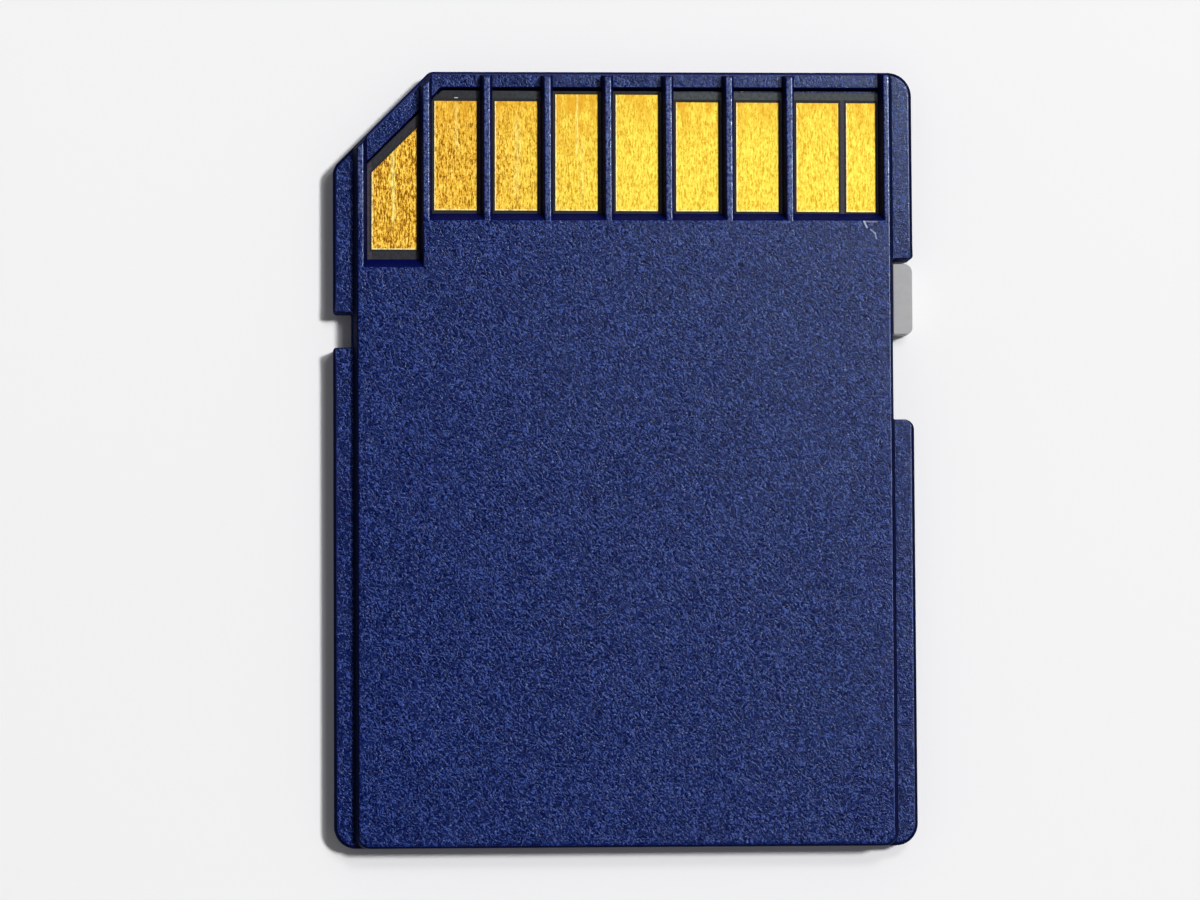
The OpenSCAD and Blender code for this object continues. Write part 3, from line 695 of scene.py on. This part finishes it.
assign(nodes["circuit_board"], plain("bare_laminate", ((0.006, 0.006, 0.008), (0.011, 0.010, 0.012)), 0.6, 6.0, 0.2, 0.3))
for i in range(1, 10):
    assign(nodes[f"contact_{i}"], gold(f"plating_{i}", i))
    ease(nodes[f"contact_{i}"], 0.012)
assign(nodes["label"], plain("label_film", ((0.72, 0.73, 0.73), (0.79, 0.80, 0.80)), 0.32, 1.2, 0.5, 0.08))
ease(nodes["label"], 0.02)
moulding = plain("chip_moulding", ((0.018, 0.018, 0.020), (0.030, 0.030, 0.032)), 0.6, 7.0, 0.4, 0.5)
for k in ("flash_chip", "controller_chip"):
    assign(nodes[k], moulding)
assign(nodes["capacitors"], chip_ends("capacitor_ends", (0.42, 0.28, 0.15), 1.7, 1.0, 1.2, 12.4))
assign(nodes["resistors"], chip_ends("resistor_ends", (0.035, 0.035, 0.040), 1.5, 1.0, 0.9, 9.2))
assign(nodes["bulk_capacitor"], chip_ends("bulk_capacitor_ends", (0.40, 0.27, 0.14), 3.8, 1.6, 2.6, 6.2))
assign(nodes["fuse"], chip_ends("fuse_ends", (0.07, 0.14, 0.08), 3.8, 1.6, 6.4, 6.2))


# ---------------------------------------------------------------- floor, light, camera
def stage_floor():
    bm = bmesh.new()
    bmesh.ops.create_grid(bm, x_segments=2, y_segments=2, size=4.0)
    o = finish_mesh("floor", bm)
    m, t, b = material("floor_white")
    n = N(t)
    f = n.noise(n.mm(), 0.02, 2.0)
    n.link(n.mix(f, (0.80, 0.80, 0.805), (0.82, 0.82, 0.825)), b.inputs["Base Color"])
    b.inputs["Roughness"].default_value = 0.9
    b.inputs["Specular IOR Level"].default_value = 0.1
    assign(o, m)


def area(name, at, size, power, target=(0, 0, 0), colour=(1, 1, 1)):
    light = bpy.data.lights.new(name, "AREA")
    light.shape = "DISK"
    light.size = size
    light.energy = power
    light.color = colour
    o = bpy.data.objects.new(name, light)
    o.location = at
    o.rotation_mode = "QUATERNION"
    o.rotation_quaternion = (Vector(target) - Vector(at)).to_track_quat("-Z", "Y")
    bpy.context.scene.collection.objects.link(o)
    return o


stage_floor()
KEY_DIR = Vector((0.385, 0.17, 0.907))
sun = bpy.data.lights.new("key", "SUN")
sun.energy, sun.angle = 2.68, math.radians(6.7)
key = bpy.data.objects.new("key", sun)
key.rotation_mode = "QUATERNION"
key.rotation_quaternion = (-KEY_DIR).to_track_quat("-Z", "Y")
key.location = KEY_DIR * 0.6
bpy.context.scene.collection.objects.link(key)
area("haze", (0.043, 0.060, 0.174), 0.035, 0.065, (0.012, 0.016, 0.0))

world = bpy.data.worlds.new("studio")
bpy.context.scene.world = world
world.use_nodes = True
wt = world.node_tree
wt.nodes.clear()
wn = N(wt)
w_out = wn.new("ShaderNodeOutputWorld")
w_bg = wn.new("ShaderNodeBackground")
wt.links.new(w_bg.outputs[0], w_out.inputs[0])
height = wn.xyz(wn.new("ShaderNodeTexCoord").outputs["Generated"])[2]
wn.link(wn.math("SUBTRACT", wn.ramp(height, 0.04, 0.14, 1.06, 0.26), wn.ramp(height, 0.80, 0.96, 0.0, 0.21)), w_bg.inputs["Strength"])

cam_data = bpy.data.cameras.new("camera")
cam = bpy.data.objects.new("camera", cam_data)
bpy.context.scene.collection.objects.link(cam)
rx, ry, rz = (math.radians(a) for a in (-3.51, 3.26, 0.11))
turned = Matrix.Rotation(rz, 3, "Z") @ Matrix.Rotation(ry, 3, "Y") @ Matrix.Rotation(rx, 3, "X")
shift = Vector((0.952, -0.396, -200.0)) * MM
cam.matrix_world = Matrix.Translation(-(turned.transposed() @ shift)) @ turned.transposed().to_4x4()
cam_data.sensor_width = 36.0
cam_data.lens = 144.66
cam_data.clip_start, cam_data.clip_end = 0.01, 20.0
bpy.context.scene.camera = cam
bpy.context.scene.view_settings.view_transform = "Standard"
bpy.context.scene.view_settings.look = "None"
